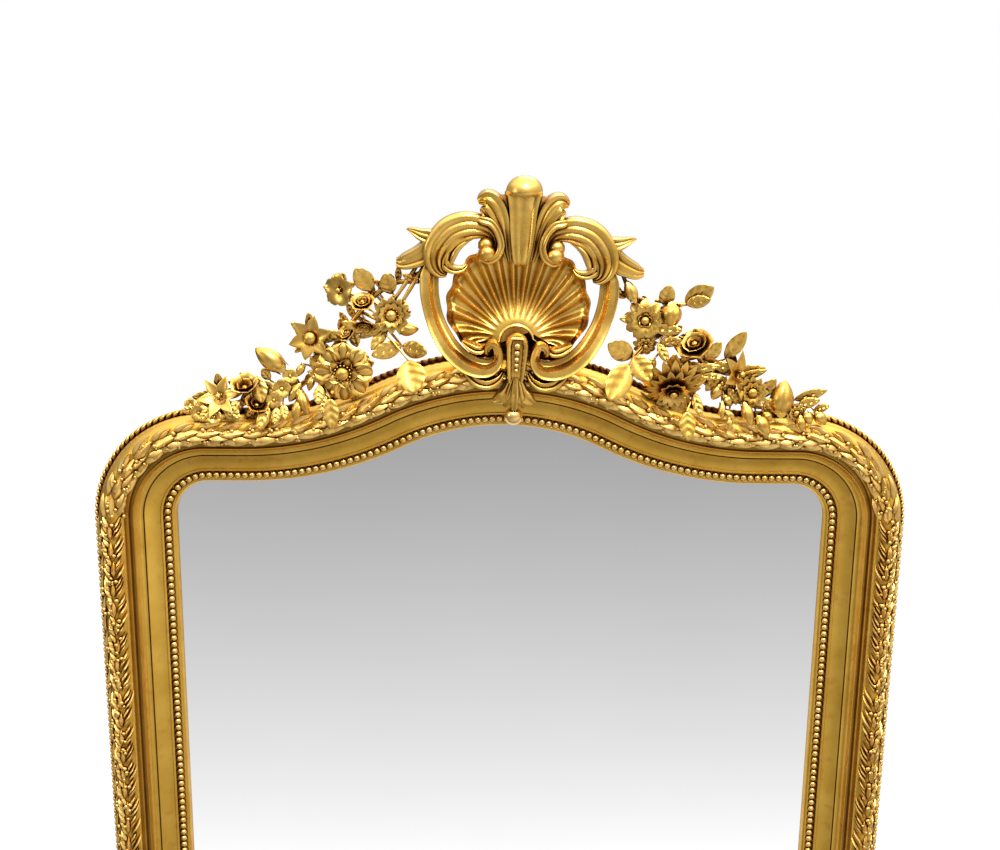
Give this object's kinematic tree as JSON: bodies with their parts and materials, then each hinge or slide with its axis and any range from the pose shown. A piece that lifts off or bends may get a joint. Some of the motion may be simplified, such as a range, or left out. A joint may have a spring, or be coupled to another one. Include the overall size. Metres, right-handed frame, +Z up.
{
  "type": "trumeau mirror",
  "caption": "Tall gilt mirror with an arched moulded frame, a shell and scroll crest, flower garlands and ring hangers on the back.",
  "frame": {"origin": "middle of the bottom rail's underside", "axes": "+X to the right seen from the front, +Y towards the wall, +Z up"},
  "size_m": [1.09, 0.1152, 1.8083],
  "materials": {
    "gilt_moulding": "water gilded over red bole, rubbed on the edges",
    "gilt_ornament": "burnished gilding with dark recesses",
    "silvered_glass": "silvered plate glass",
    "bare_pine": "bare, aged softwood",
    "hardwood": "bare, aged hardwood",
    "wrought_iron": "dark, slightly rusted iron"
  },
  "bodies": {
    "frame": {"arched_board": "bare_pine", "backboard_nails": "wrought_iron", "bottom_rail": "gilt_moulding", "crest_block": "bare_pine", "crest_dowels": "hardwood", "crown_keys": "hardwood", "crown_rail": "gilt_moulding", "finial": "gilt_ornament", "glazing_blocks": "bare_pine", "hanger_screws": "wrought_iron", "left_anemone": "gilt_ornament", "left_buds": "gilt_ornament", "left_cup_flower": "gilt_ornament", "left_daisies": "gilt_ornament", "left_forget_me_nots": "gilt_ornament", "left_garland_stem": "gilt_ornament", "left_hanger_plate": "wrought_iron", "left_leaves": "gilt_ornament", "left_lily": "gilt_ornament", "left_narcissus": "gilt_ornament", "left_roses": "gilt_ornament", "left_scroll": "gilt_ornament", "left_shoulder": "gilt_moulding", "left_spray": "gilt_ornament", "left_stile": "gilt_moulding", "left_trumpet_flower": "gilt_ornament", "lower_board": "bare_pine", "lowest_board": "bare_pine", "mirror_plate": "silvered_glass", "mitre_keys": "hardwood", "pendant_bracket": "gilt_ornament", "pendant_drop": "gilt_ornament", "pendant_husk": "gilt_ornament", "pendant_pearls": "gilt_ornament", "plume_leaf": "gilt_ornament", "plume_lobes": "gilt_ornament", "right_buds": "gilt_ornament", "right_chrysanthemum": "gilt_ornament", "right_daisies": "gilt_ornament", "right_garland_stem": "gilt_ornament", "right_hanger_plate": "wrought_iron", "right_leaves": "gilt_ornament", "right_lily": "gilt_ornament", "right_rose": "gilt_ornament", "right_scroll": "gilt_ornament", "right_shoulder": "gilt_moulding", "right_spray": "gilt_ornament", "right_stile": "gilt_moulding", "right_zinnia": "gilt_ornament", "shell": "gilt_ornament", "shell_boss": "gilt_ornament", "stile_keys": "hardwood", "upper_board": "bare_pine", "volute_bosses": "gilt_ornament"},
    "left_ring": {"left_hanger_ring": "wrought_iron"},
    "right_ring": {"right_hanger_ring": "wrought_iron"}
  },
  "joints": [
    {"name": "left_ring_swing", "type": "hinge", "parent": "frame", "child": "left_ring", "pos_m": [-0.499, 0.03044, 1.24], "axis": [1, 0, 0], "range_deg": [0, 178]},
    {"name": "right_ring_swing", "type": "hinge", "parent": "frame", "child": "right_ring", "pos_m": [0.499, 0.03044, 1.24], "axis": [1, 0, 0], "range_deg": [0, 178]}
  ]
}
